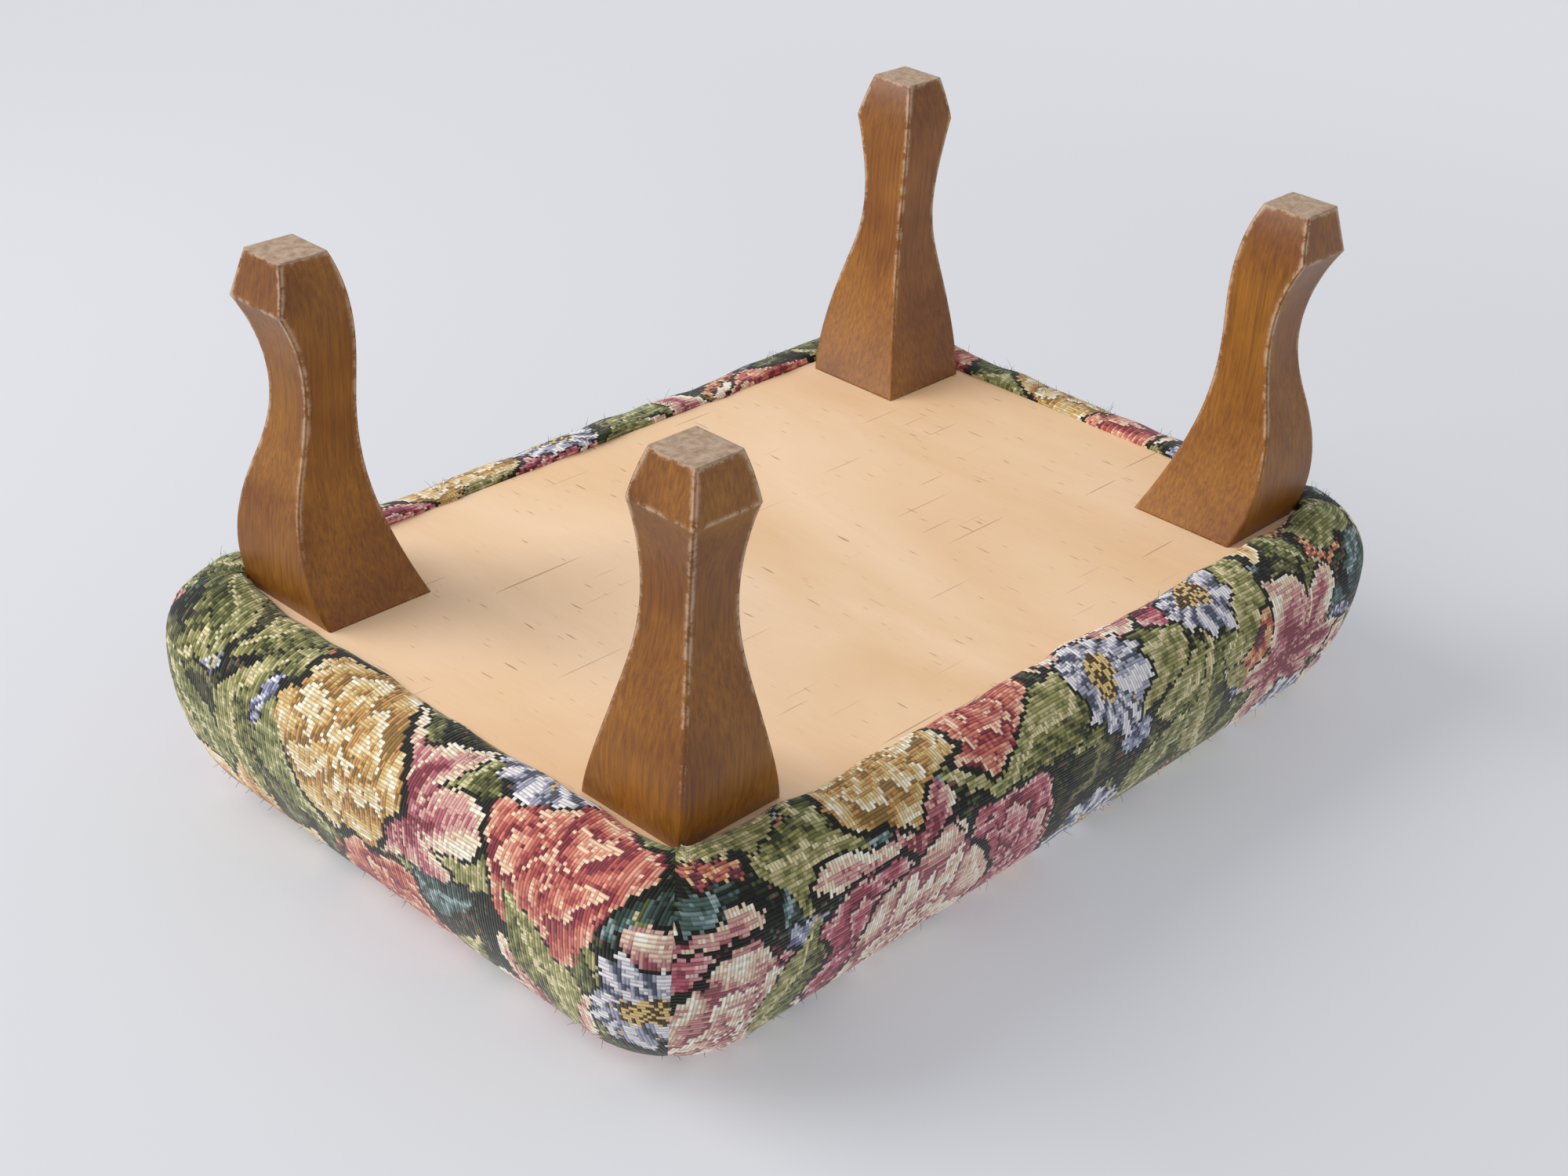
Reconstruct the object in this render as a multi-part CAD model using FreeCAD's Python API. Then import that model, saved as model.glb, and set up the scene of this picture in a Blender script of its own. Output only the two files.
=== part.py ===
"""An upholstered footstool, standing on its four feet.

Millimetres. The origin is on the floor at the centre of the stool, +X runs along its length
and +Z is up. Every piece is its own solid and its own file in parts/.
"""
import FreeCAD
import Part
import math
import os

# The padded seat
pad_length = 432.0
pad_width = 298.0
pad_depth = 80.0
pad_corner_radius = 40.0
widest_above_lip = 23.0       # height of the widest line over the lowest point of the lip
lip_tuck = 25.0               # how far the lip lies in from the widest line
lip_drop = 3.0                # the lip hangs this far below the panel
shoulder_rise = 58.0          # from the widest line up to where the top levels off
shoulder_tuck = 25.0
lip_corner_easing = 1.2       # how much faster the plan corner tightens than the lip tucks in
crown_corner_easing = 0.25
crown_flat = 45.0             # width of the nearly flat middle of the top
crown_edge_drop = 6.0         # easing of the foam's top edge
cover_thickness = 1.2
wadding_thickness = 5.0

# The plywood panel, set in from the widest line of the seat
panel_inset_length = 32.0
panel_inset_width = 29.0
panel_thickness = 7.0
panel_corner_radius = 2.0
recess_flare = 3.5            # the lip opens out this much below the panel
recess_straight_from = 2.0    # above this height over the panel's face the recess is straight
padding_above_face = 1.0      # the padding stops this far over the panel's face

# The legs: height over the floor, then distance in from the outer edge of the leg's top
leg_height = 136.0
leg_inset_length = 4.0        # from the edge of the panel
leg_inset_width = 5.0
leg_top_size = 47.2
sole_outer = 2.5
sole_inner = 23.4
ankle_height = 18.0
ankle_outer = -1.7
leg_outer_curve = [(112.0, -3.6), (88.0, 0.0), (72.0, 4.4), (53.0, 6.8), (29.0, 3.0)]
leg_inner_curve = [(115.5, 39.1), (89.5, 32.0), (60.0, 29.3), (33.0, 29.7), (19.0, 28.6)]
arris_radius = 0.8

# The seat frame, set in from the widest line of the seat
frame_inset_length = 20.0
frame_inset_width = 22.0
rail_thickness = 20.0
frame_height = 28.0
block_leg = 62.0
block_height = 23.0
board_thickness = 4.0
flange_width = 7.0            # the cover's edge that is turned in under the rails
flange_clearance = 1.0        # the turned-in edge stops this short of the rail's inner face

# Fasteners
bolt_radius = 4.0
bolt_in_leg = 32.0
bolt_length = 66.0
bolt_clearance = 0.3
nut_barrel_radius = 5.5
nut_barrel_length = 9.0
nut_flange_radius = 10.0
nut_flange_thickness = 1.5
screw_radius = 1.75
screw_head_radius = 3.5
panel_screw_length = 20.0
panel_screw_head = 2.0
panel_screw_places = [(8.0, 28.0), (36.0, 6.0)]   # in from the inner corner of the rails
block_screw_from_corner = 44.0
block_screw_height = 11.0
block_screw_sink = 3.5
block_screw_head = 2.5
block_screw_length = 26.0
block_screw_well = 10.5       # length of the hole over a sunk screw head
nail_radius = 1.0
nail_head_radius = 2.0
nail_head = 1.0
nail_length = 20.0
nails_per_long_rail = 5
nails_per_short_rail = 2
staple_crown = 10.0
staple_wire = 0.6
staple_leg = 7.0
staples_per_long_side = 7
staples_per_short_side = 5

# Sizes that follow from the ones above
panel_length = pad_length - 2 * panel_inset_length
panel_width = pad_width - 2 * panel_inset_width
leg_span_length = panel_length - 2 * leg_inset_length
leg_span_width = panel_width - 2 * leg_inset_width
frame_length = pad_length - 2 * frame_inset_length
frame_width = pad_width - 2 * frame_inset_width
crown_tuck = (pad_width - crown_flat) / 2

# Heights
lip_z = leg_height - lip_drop
widest_z = lip_z + widest_above_lip
top_z = leg_height + pad_depth
panel_top = leg_height + panel_thickness
rail_bottom = panel_top + cover_thickness
rail_top = rail_bottom + frame_height
board_top = rail_top + board_thickness
block_top = panel_top + block_height

corner_names = {
    "front_left": (-1, -1),
    "front_right": (1, -1),
    "back_left": (-1, 1),
    "back_right": (1, 1),
}
up = FreeCAD.Vector(0, 0, 1)


def box(x_low, x_high, y_low, y_high, z_low, z_high):
    """A block between two opposite corners."""
    corner = FreeCAD.Vector(x_low, y_low, z_low)
    return Part.makeBox(x_high - x_low, y_high - y_low, z_high - z_low, corner)


def centred_box(length, width, z_low, z_high):
    """A block centred on the stool."""
    return box(-length / 2, length / 2, -width / 2, width / 2, z_low, z_high)


def rod(radius, length, start, direction=up):
    """A round bar from a point along a direction."""
    return Part.makeCylinder(radius, length, start, direction)


def rounded_outline(length, width, radius, z):
    """A closed outline with four straight sides and four quarter circles."""
    half_x = length / 2 - radius
    half_y = width / 2 - radius
    edges = []
    centres = [(half_x, half_y), (-half_x, half_y), (-half_x, -half_y), (half_x, -half_y)]
    for turn, (cx, cy) in enumerate(centres):
        points = []
        for step in range(3):
            angle = math.radians(90 * turn + 45 * step)
            x = cx + radius * math.cos(angle)
            y = cy + radius * math.sin(angle)
            points.append(FreeCAD.Vector(x, y, z))
        if edges:
            edges.append(Part.makeLine(last_point, points[0]))
        else:
            first_point = points[0]
        edges.append(Part.Arc(*points).toShape())
        last_point = points[2]
    edges.append(Part.makeLine(last_point, first_point))
    return Part.Wire(edges)


def pad_sections(skin, bottom):
    """Height, tuck and corner radius of the padded seat, from the lip up to the crown.

    skin takes the body in all round, and bottom is the height it starts at.
    """
    low_reach = widest_above_lip - skin
    high_reach = top_z - widest_z - skin
    start = math.degrees(math.asin(min(1.0, (widest_z - bottom) / low_reach)))
    sections = []
    for share in (1.0, 0.8, 0.6, 0.4, 0.2, 0.0):
        angle = math.radians(start * share)
        tuck = lip_tuck * (1 - math.cos(angle))
        radius = pad_corner_radius - lip_corner_easing * tuck
        sections.append((widest_z - low_reach * math.sin(angle), tuck, radius))
    rise = shoulder_rise * high_reach / (top_z - widest_z)
    for degrees in (20, 38, 55, 72):
        angle = math.radians(degrees)
        tuck = shoulder_tuck * (1 - math.cos(angle))
        radius = pad_corner_radius - crown_corner_easing * tuck
        sections.append((widest_z + rise * math.sin(angle), tuck, radius))
    crown_start, crown_first_tuck, _ = sections[-1]
    for share in (0.2, 0.45, 0.7, 1.0):
        tuck = crown_first_tuck + (crown_tuck - crown_first_tuck) * share
        height = crown_start + (widest_z + high_reach - crown_start) * math.sin(share * math.pi / 2)
        sections.append((height, tuck, pad_corner_radius - crown_corner_easing * tuck))
    return sections


def pad_body(skin, bottom):
    """The whole padded seat, taken in by a skin thickness all round."""
    wires = []
    for height, tuck, radius in pad_sections(skin, bottom):
        inset = 2 * (tuck + skin)
        wires.append(rounded_outline(pad_length - inset, pad_width - inset, radius, height))
    return Part.makeLoft(wires, True, True)


def foam_body():
    """The seat foam: upright sides on the board, under the crown."""
    skin = cover_thickness + wadding_thickness
    crown = [section for section in pad_sections(skin, widest_z) if section[1] > shoulder_tuck / 2]
    first = crown[0][0] - crown_edge_drop
    wires = [
        rounded_outline(frame_length, frame_width, panel_corner_radius, board_top),
        rounded_outline(frame_length, frame_width, panel_corner_radius, first),
    ]
    for height, tuck, radius in crown:
        length = min(pad_length - 2 * (tuck + skin), frame_length - crown_edge_drop)
        width = min(pad_width - 2 * (tuck + skin), frame_width - crown_edge_drop)
        wires.append(rounded_outline(length, width, radius / 2, height))
    return Part.makeLoft(wires, True, True)


def panel_recess():
    """The space the panel sits in, opening out towards the lip."""
    flare_top = leg_height + recess_straight_from
    low = rounded_outline(panel_length + 2 * recess_flare, panel_width + recess_flare,
                          panel_corner_radius + recess_flare, lip_z)
    high = rounded_outline(panel_length, panel_width, panel_corner_radius, flare_top)
    flared = Part.makeLoft([low, high], True, True)
    straight = Part.Face(rounded_outline(panel_length, panel_width, panel_corner_radius, flare_top))
    return flared.fuse(straight.extrude(up * (panel_top - flare_top)))


def leg_profile(side, span, across):
    """One cut through a leg, as a prism; across is the direction the saw cut runs in."""
    def place(height, inward):
        along = side * (span / 2 - inward)
        if across == "y":
            return FreeCAD.Vector(along, -reach, height)
        return FreeCAD.Vector(-reach, along, height)

    reach = pad_length / 2
    outer_points = [place(leg_height, 0.0)]
    outer_points += [place(height, inward) for height, inward in leg_outer_curve]
    outer_points.append(place(ankle_height, ankle_outer))
    inner_points = [place(0.0, sole_inner)]
    inner_points += [place(height, inward) for height, inward in reversed(leg_inner_curve)]
    inner_points.append(place(leg_height, leg_top_size))
    outer_curve = Part.BSplineCurve()
    outer_curve.interpolate(outer_points)
    inner_curve = Part.BSplineCurve()
    inner_curve.interpolate(inner_points)
    sole_corner = place(0.0, sole_outer)
    wire = Part.Wire([
        outer_curve.toShape(),
        Part.makeLine(outer_points[-1], sole_corner),
        Part.makeLine(sole_corner, inner_points[0]),
        inner_curve.toShape(),
        Part.makeLine(inner_points[-1], outer_points[0]),
    ])
    direction = FreeCAD.Vector(0, 2 * reach, 0) if across == "y" else FreeCAD.Vector(2 * reach, 0, 0)
    return Part.Face(wire).extrude(direction)


def leg(side_x, side_y):
    """A square leg sawn to one shape from two sides, with its long corners eased."""
    lengthwise = leg_profile(side_x, leg_span_length, "y")
    widthwise = leg_profile(side_y, leg_span_width, "x")
    blank = lengthwise.common(widthwise)
    corners = [edge for edge in blank.Edges if edge.BoundBox.ZLength > ankle_height / 2]
    return blank.makeFillet(arris_radius, corners)


def leg_axis(side_x, side_y):
    """The middle of a leg's top, where its bolt goes in."""
    middle = leg_top_size / 2
    return side_x * (leg_span_length / 2 - middle), side_y * (leg_span_width / 2 - middle)


def corner_block(side_x, side_y):
    """A three-cornered block glued into a corner of the frame."""
    x = side_x * (frame_length / 2 - rail_thickness)
    y = side_y * (frame_width / 2 - rail_thickness)
    points = [
        FreeCAD.Vector(x, y, panel_top),
        FreeCAD.Vector(x - side_x * block_leg, y, panel_top),
        FreeCAD.Vector(x, y - side_y * block_leg, panel_top),
    ]
    outline = Part.makePolygon(points + points[:1])
    return Part.Face(outline).extrude(up * block_height)


def panel_screw(x, y):
    """A countersunk screw, driven up through the panel."""
    start = FreeCAD.Vector(x, y, leg_height)
    head = Part.makeCone(screw_head_radius, screw_radius, panel_screw_head, start, up)
    shank = rod(screw_radius, panel_screw_length, start)
    return head.fuse(shank)


def block_screw(point, direction):
    """A screw sunk into the long face of a corner block, and the space over its head."""
    head_start = point + direction * block_screw_sink
    head = rod(screw_head_radius, block_screw_head, head_start, direction)
    shank = rod(screw_radius, block_screw_length, head_start, direction)
    well_start = head_start - direction * block_screw_well
    well = rod(screw_head_radius, block_screw_well, well_start, direction)
    return head.fuse(shank), well


def board_nail(x, y):
    """A nail with its head level with the top of the seat board."""
    top = FreeCAD.Vector(x, y, board_top)
    head = rod(nail_head_radius, nail_head, top - up * nail_head)
    shank = rod(nail_radius, nail_length, top - up * nail_length)
    return head.fuse(shank)


def cover_staple(x, y, lengthwise):
    """A wire staple driven up through the turned-in edge of the cover."""
    reach_x = staple_crown / 2 if lengthwise else staple_wire / 2
    reach_y = staple_wire / 2 if lengthwise else staple_crown / 2
    staple = box(x - reach_x, x + reach_x, y - reach_y, y + reach_y,
                 panel_top, panel_top + staple_wire)
    for end in (-1, 1):
        leg_x = x + end * (reach_x - staple_wire / 2 if lengthwise else 0.0)
        leg_y = y + end * (0.0 if lengthwise else reach_y - staple_wire / 2)
        half = staple_wire / 2
        prong = box(leg_x - half, leg_x + half, leg_y - half, leg_y + half,
                    panel_top, panel_top + staple_leg)
        staple = staple.fuse(prong)
    return staple.removeSplitter()


def spread(count, length):
    """Evenly spaced places along a side, clear of its ends."""
    step = length / count
    return [(index + 0.5) * step - length / 2 for index in range(count)]


pieces = {}

# Soft pieces. The padding fills the cover, and the cover turns in round the panel's edge.
padding_bottom = leg_height + padding_above_face
padded_space = pad_body(cover_thickness, padding_bottom)
turned_edge = centred_box(panel_length + 2 * cover_thickness, panel_width + 2 * cover_thickness,
                          padding_bottom, rail_bottom)
frame_space = centred_box(frame_length, frame_width, rail_bottom, board_top)
foam = foam_body()
wadding = padded_space.cut(turned_edge).cut(frame_space).cut(foam)
opening_width = frame_width - 2 * (rail_thickness - flange_clearance)
opening = centred_box(panel_length - 2 * flange_width, opening_width, panel_top, rail_bottom)
cover = pad_body(0.0, lip_z).cut(padded_space).fuse(turned_edge)
cover = cover.cut(panel_recess()).cut(opening).removeSplitter()

# The frame
inner_x = frame_length / 2 - rail_thickness
inner_y = frame_width / 2 - rail_thickness
rails = {}
for name, side in (("front", -1), ("back", 1)):
    edges_y = sorted((side * inner_y, side * frame_width / 2))
    rails[name] = box(-frame_length / 2, frame_length / 2, *edges_y, rail_bottom, rail_top)
for name, side in (("left", -1), ("right", 1)):
    edges_x = sorted((side * inner_x, side * frame_length / 2))
    rails[name] = box(*edges_x, -inner_y, inner_y, rail_bottom, rail_top)
board = centred_box(frame_length, frame_width, rail_top, board_top)
panel_outline = rounded_outline(panel_length, panel_width, panel_corner_radius, leg_height)
panel = Part.Face(panel_outline).extrude(up * panel_thickness)

# Legs and corner blocks, each with its fasteners
bolts = []
nuts = []
panel_screws = []
block_screws = []
for corner, (side_x, side_y) in corner_names.items():
    axis_x, axis_y = leg_axis(side_x, side_y)
    bolt_start = FreeCAD.Vector(axis_x, axis_y, leg_height - bolt_in_leg)
    bolt = rod(bolt_radius, bolt_length, bolt_start)
    clearance = rod(bolt_radius + bolt_clearance, bolt_length, bolt_start)
    barrel_start = FreeCAD.Vector(axis_x, axis_y, block_top - nut_barrel_length)
    barrel = rod(nut_barrel_radius, nut_barrel_length, barrel_start)
    flange = rod(nut_flange_radius, nut_flange_thickness, FreeCAD.Vector(axis_x, axis_y, block_top))
    block = corner_block(side_x, side_y).cut(clearance).cut(barrel)
    nuts.append(barrel.fuse(flange).cut(bolt))
    bolts.append(bolt)
    panel = panel.cut(clearance)
    pieces["leg_" + corner] = leg(side_x, side_y).cut(bolt)

    for in_x, in_y in panel_screw_places:
        screw = panel_screw(side_x * (inner_x - in_x), side_y * (inner_y - in_y))
        panel_screws.append(screw)
        panel = panel.cut(screw)
        block = block.cut(screw)

    to_face = block_leg - block_screw_from_corner
    far_x = inner_x - block_screw_from_corner
    far_y = inner_y - block_screw_from_corner
    screw_z = panel_top + block_screw_height
    into_side_rail = (
        FreeCAD.Vector(side_x * (inner_x - to_face), side_y * far_y, screw_z),
        FreeCAD.Vector(side_x, 0, 0),
        "right" if side_x > 0 else "left",
    )
    into_long_rail = (
        FreeCAD.Vector(side_x * far_x, side_y * (inner_y - to_face), screw_z),
        FreeCAD.Vector(0, side_y, 0),
        "back" if side_y > 0 else "front",
    )
    for point, direction, rail_name in (into_side_rail, into_long_rail):
        screw, well = block_screw(point, direction)
        block_screws.append(screw)
        block = block.cut(screw).cut(well)
        rails[rail_name] = rails[rail_name].cut(screw)
    pieces["block_" + corner] = block

# Nails down through the board, and staples up through the cover's edge
nails = []
for name, side in (("front", -1), ("back", 1)):
    for x in spread(nails_per_long_rail, frame_length):
        nail = board_nail(x, side * (frame_width - rail_thickness) / 2)
        nails.append(nail)
        board = board.cut(nail)
        rails[name] = rails[name].cut(nail)
for name, side in (("left", -1), ("right", 1)):
    for y in spread(nails_per_short_rail, 2 * inner_y):
        nail = board_nail(side * (frame_length - rail_thickness) / 2, y)
        nails.append(nail)
        board = board.cut(nail)
        rails[name] = rails[name].cut(nail)

staples = []
staple_x = panel_length / 2 - flange_width / 2
staple_y = (panel_width / 2 + inner_y + flange_clearance) / 2
for name, side in (("front", -1), ("back", 1)):
    for x in spread(staples_per_long_side, 2 * inner_x):
        staple = cover_staple(x, side * staple_y, True)
        staples.append(staple)
        cover = cover.cut(staple)
        rails[name] = rails[name].cut(staple)
for name, side in (("left", -1), ("right", 1)):
    for y in spread(staples_per_short_side, 2 * inner_y):
        staple = cover_staple(side * staple_x, y, False)
        staples.append(staple)
        cover = cover.cut(staple)
        rails[name] = rails[name].cut(staple)

for name, rail in rails.items():
    pieces["rail_" + name] = rail
pieces["base_panel"] = panel
pieces["seat_board"] = board
pieces["foam_pad"] = foam
pieces["wadding"] = wadding
pieces["seat_cover"] = cover
pieces["leg_bolts"] = Part.makeCompound(bolts)
pieces["tee_nuts"] = Part.makeCompound(nuts)
pieces["panel_screws"] = Part.makeCompound(panel_screws)
pieces["block_screws"] = Part.makeCompound(block_screws)
pieces["board_nails"] = Part.makeCompound(nails)
pieces["cover_staples"] = Part.makeCompound(staples)

os.makedirs("parts", exist_ok=True)
for name, shape in sorted(pieces.items()):
    shape.exportStep(os.path.join("parts", name + ".step"))
    bounds = shape.BoundBox
    print(name, "solids", len(shape.Solids), "valid", shape.isValid(),
          "x %.1f..%.1f y %.1f..%.1f z %.1f..%.1f" % (
              bounds.XMin, bounds.XMax, bounds.YMin, bounds.YMax, bounds.ZMin, bounds.ZMax),
          "volume %.0f" % shape.Volume)
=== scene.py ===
# %% [markdown]
# An upholstered footstool. Under its padded seat is a bare plywood panel, and four sawn wooden
# legs stand on the panel's corners. The photograph shows the stool lying on its seat with its
# legs up, so the camera here looks up at the standing stool and is turned over.

# %% Load the frame
import bpy
import math
import random
import numpy as np
from mathutils import Matrix, Vector


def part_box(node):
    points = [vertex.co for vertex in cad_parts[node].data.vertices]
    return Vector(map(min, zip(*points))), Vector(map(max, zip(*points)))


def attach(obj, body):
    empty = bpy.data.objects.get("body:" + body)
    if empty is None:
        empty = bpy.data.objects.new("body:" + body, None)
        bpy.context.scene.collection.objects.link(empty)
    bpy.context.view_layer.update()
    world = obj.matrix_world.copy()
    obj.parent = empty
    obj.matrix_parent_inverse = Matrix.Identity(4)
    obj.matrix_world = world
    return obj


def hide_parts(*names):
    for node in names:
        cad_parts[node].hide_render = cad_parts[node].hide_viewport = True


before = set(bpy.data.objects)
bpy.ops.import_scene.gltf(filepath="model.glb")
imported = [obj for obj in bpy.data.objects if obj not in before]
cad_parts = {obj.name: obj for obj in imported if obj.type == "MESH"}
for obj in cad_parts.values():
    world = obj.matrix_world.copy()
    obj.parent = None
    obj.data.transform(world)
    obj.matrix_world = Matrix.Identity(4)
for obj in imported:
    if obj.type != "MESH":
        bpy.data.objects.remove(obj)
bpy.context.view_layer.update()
panel_low, panel_high = (Vector(corner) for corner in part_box("base_panel"))
pad_low, pad_high = (Vector(corner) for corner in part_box("seat_cover"))
MM = 0.001


# %% [markdown]
# Each material below is a small graph of nodes. One helper adds a node, sets its settings and
# joins its sockets, so a graph reads from top to bottom. Colours are written as they look on a
# screen, and a second helper turns them into the linear values that light works with.

# %% Colour and node helpers
def colour(code):
    channels = [int(code[i:i + 2], 16) / 255 for i in (1, 3, 5)]
    linear = [c / 12.92 if c <= 0.04045 else ((c + 0.055) / 1.055) ** 2.4 for c in channels]
    return (*linear, 1.0)


def add(tree, kind, inputs=None, ramp=None, **settings):
    """Add a node. In inputs, a node or socket is linked and any other value is set."""
    node = tree.nodes.new("ShaderNode" + kind)
    for name, value in settings.items():
        setattr(node, name, value)
    for key, value in (inputs or {}).items():
        if isinstance(value, bpy.types.Node):
            value = next(socket for socket in value.outputs if socket.enabled)
        if isinstance(value, bpy.types.NodeSocket):
            tree.links.new(value, node.inputs[key])
        else:
            node.inputs[key].default_value = value
    if ramp:
        stops = node.color_ramp.elements
        stops.remove(stops[1])
        stops[0].position, stops[0].color = ramp[0][0], colour(ramp[0][1])
        for position, code in ramp[1:]:
            stops.new(position).color = colour(code)
    return node


def new_material(name):
    material = bpy.data.materials.new(name)
    material.use_nodes = True
    material.node_tree.nodes.clear()
    return material, material.node_tree


def dress(piece, material):
    """Give a piece of the frame one material all over."""
    if not piece.material_slots:
        piece.data.materials.append(material)
    for material_slot in piece.material_slots:
        material_slot.material = material


# %% [markdown]
# The legs are beech with a brown stain and a satin lacquer. A stain soaks in unevenly, so the
# colour drifts slowly and shows fine streaks along the grain. Handling has rubbed the lacquer
# and stain off the sharp corners, and the soles are bare, dusty end grain.

# %% Beech grain and stain
def beech_grain(tree, place):
    """Streaks along the leg, and the colour of the stained wood."""
    # The streaks are about 1 mm wide and 36 mm long, and the pores 0.4 mm by 6 mm.
    streak_place = add(tree, "Mapping", {"Vector": place, "Scale": (900, 900, 28)})
    streaks = add(tree, "TexNoise", {"Vector": streak_place, "Scale": 1.0, "Detail": 5.0,
                                     "Roughness": 0.6})
    stain = add(tree, "ValToRGB", {"Fac": streaks}, ramp=[(0.28, "#7C4A17"), (0.78, "#AD7424")])
    # The stain drifts over patches of about 40 mm.
    clouds = add(tree, "TexNoise", {"Vector": place, "Scale": 26.0, "Detail": 3.0})
    patches = add(tree, "ValToRGB", {"Fac": clouds}, ramp=[(0.35, "#D2C0AC"), (0.68, "#FFFFFF")])
    tinted = add(tree, "Mix", {"Factor": 1.0, "A": stain, "B": patches},
                 data_type="RGBA", blend_type="MULTIPLY")
    pore_place = add(tree, "Mapping", {"Vector": place, "Scale": (2600, 2600, 170)})
    pores = add(tree, "TexNoise", {"Vector": pore_place, "Scale": 1.0, "Detail": 2.0})
    in_pore = add(tree, "MapRange", {"Value": pores, "From Min": 0.60, "From Max": 0.74,
                                     "To Min": 0.0, "To Max": 0.45})
    wood = add(tree, "Mix", {"Factor": in_pore, "A": tinted, "B": colour("#4A2C14")},
               data_type="RGBA")
    return streaks, wood


# %% [markdown]
# Knocks and rubbing bare the wood along the sharp corners. The normal of a softened edge
# differs from the true one only near a corner, so their difference finds the places. Noise
# breaks the worn line up into chips about 6 mm long. The wear is heaviest low on the leg,
# where feet and floors knock it, and absent against the underside.

# %% Worn corners
def worn_corners(tree, place, height):
    """Where the finish is lost, from 0 to 0.9."""
    softened = add(tree, "Bevel", {"Radius": 4.5 * MM}, samples=10)
    true_normal = add(tree, "NewGeometry").outputs["Normal"]
    match = add(tree, "VectorMath", {0: softened, 1: true_normal}, operation="DOT_PRODUCT")
    turned_away = add(tree, "Math", {0: 1.0, 1: match.outputs["Value"]}, operation="SUBTRACT")
    knocks = add(tree, "TexNoise", {"Vector": place, "Scale": 170.0, "Detail": 6.0,
                                    "Roughness": 0.8})
    chips = add(tree, "MapRange", {"Value": knocks, "From Min": 0.45, "From Max": 0.63,
                                   "To Min": 0.07})
    low_down = add(tree, "MapRange", {"Value": height, "From Min": 60 * MM, "From Max": 118 * MM,
                                      "To Min": 1.0, "To Max": 0.04})
    knocked = add(tree, "Math", {0: chips, 1: low_down}, operation="MULTIPLY")
    broken = add(tree, "Math", {0: turned_away, 1: knocked}, operation="MULTIPLY")
    return add(tree, "MapRange", {"Value": broken, "From Min": 0.008, "From Max": 0.024,
                                  "To Min": 0.0, "To Max": 0.9})


# %% Stained beech
def stained_beech():
    material, tree = new_material("Stained beech, satin lacquer")
    place = add(tree, "TexCoord").outputs["Object"]
    height = add(tree, "SeparateXYZ", {"Vector": place}).outputs["Z"]
    streaks, wood = beech_grain(tree, place)
    worn_wood = add(tree, "Mix", {"Factor": worn_corners(tree, place, height), "A": wood,
                                  "B": colour("#C8A98A")}, data_type="RGBA")
    # The sole is everything within half a millimetre of the floor.
    sole = add(tree, "MapRange", {"Value": height, "From Min": 0.6 * MM, "From Max": 0.2 * MM,
                                  "To Min": 0.0, "To Max": 1.0})
    scuffs = add(tree, "TexNoise", {"Vector": place, "Scale": 300.0, "Detail": 6.0,
                                    "Roughness": 0.7})
    end_grain = add(tree, "ValToRGB", {"Fac": scuffs}, ramp=[(0.3, "#917258"), (0.7, "#C4AD95")])
    surface = add(tree, "Mix", {"Factor": sole, "A": worn_wood, "B": end_grain},
                  data_type="RGBA")
    # Satin lacquer is fairly glossy, and the bare soles are dull.
    gloss = add(tree, "MapRange", {"Value": streaks, "To Min": 0.34, "To Max": 0.46})
    dulled = add(tree, "Math", {0: gloss, 1: sole}, operation="ADD", use_clamp=True)
    eased = add(tree, "Bevel", {"Radius": 1.2 * MM}, samples=6)
    bump = add(tree, "Bump", {"Strength": 0.12, "Distance": 0.2 * MM, "Height": streaks,
                              "Normal": eased})
    shader = add(tree, "BsdfPrincipled", {"Base Color": surface, "Roughness": dulled, "IOR": 1.5,
                                          "Specular IOR Level": 0.36, "Coat Weight": 0.06,
                                          "Coat Roughness": 0.28, "Normal": bump})
    add(tree, "OutputMaterial", {"Surface": shader})
    return material


leg_names = ["leg_front_left", "leg_front_right", "leg_back_left", "leg_back_right"]
leg_material = stained_beech()
for leg_name in leg_names:
    dress(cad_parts[leg_name], leg_material)
print("legs finished:", len(leg_names))


# %% [markdown]
# The underside is a sheet of plywood with a pale, smooth face veneer. The veneer was peeled
# from a log, so its figure is broad and soft, with short dark flecks that all run one way,
# here across the stool. It is bare, so it has hardly any gloss.

# %% Veneer figure and flecks
def peeled_veneer(tree, place):
    """Fine fibres, and the colour of the veneer with its flecks."""
    # The figure is about 70 mm by 220 mm, and the fibres 0.7 mm by 17 mm.
    figure_place = add(tree, "Mapping", {"Vector": place, "Scale": (14, 4.5, 10)})
    figure = add(tree, "TexNoise", {"Vector": figure_place, "Scale": 1.0, "Detail": 4.0,
                                    "Roughness": 0.55, "Distortion": 0.6})
    base = add(tree, "ValToRGB", {"Fac": figure}, ramp=[(0.3, "#E9C091"), (0.72, "#F7D7B3")])
    fibre_place = add(tree, "Mapping", {"Vector": place, "Scale": (1500, 60, 1500)})
    fibre = add(tree, "TexNoise", {"Vector": fibre_place, "Scale": 1.0, "Detail": 3.0})
    fibre_tone = add(tree, "MapRange", {"Value": fibre, "To Min": 0.93, "To Max": 1.05})
    grained = add(tree, "VectorMath", {0: base, "Scale": fibre_tone}, operation="SCALE")
    # The flecks are about 1.6 mm by 14 mm.
    fleck_place = add(tree, "Mapping", {"Vector": place, "Scale": (620, 70, 500)})
    flecks = add(tree, "TexNoise", {"Vector": fleck_place, "Scale": 1.0, "Detail": 1.0})
    in_fleck = add(tree, "MapRange", {"Value": flecks, "From Min": 0.70, "From Max": 0.77,
                                      "To Min": 0.0, "To Max": 0.6})
    return fibre, add(tree, "Mix", {"Factor": in_fleck, "A": grained, "B": colour("#8A5F3E")},
                      data_type="RGBA")


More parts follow.
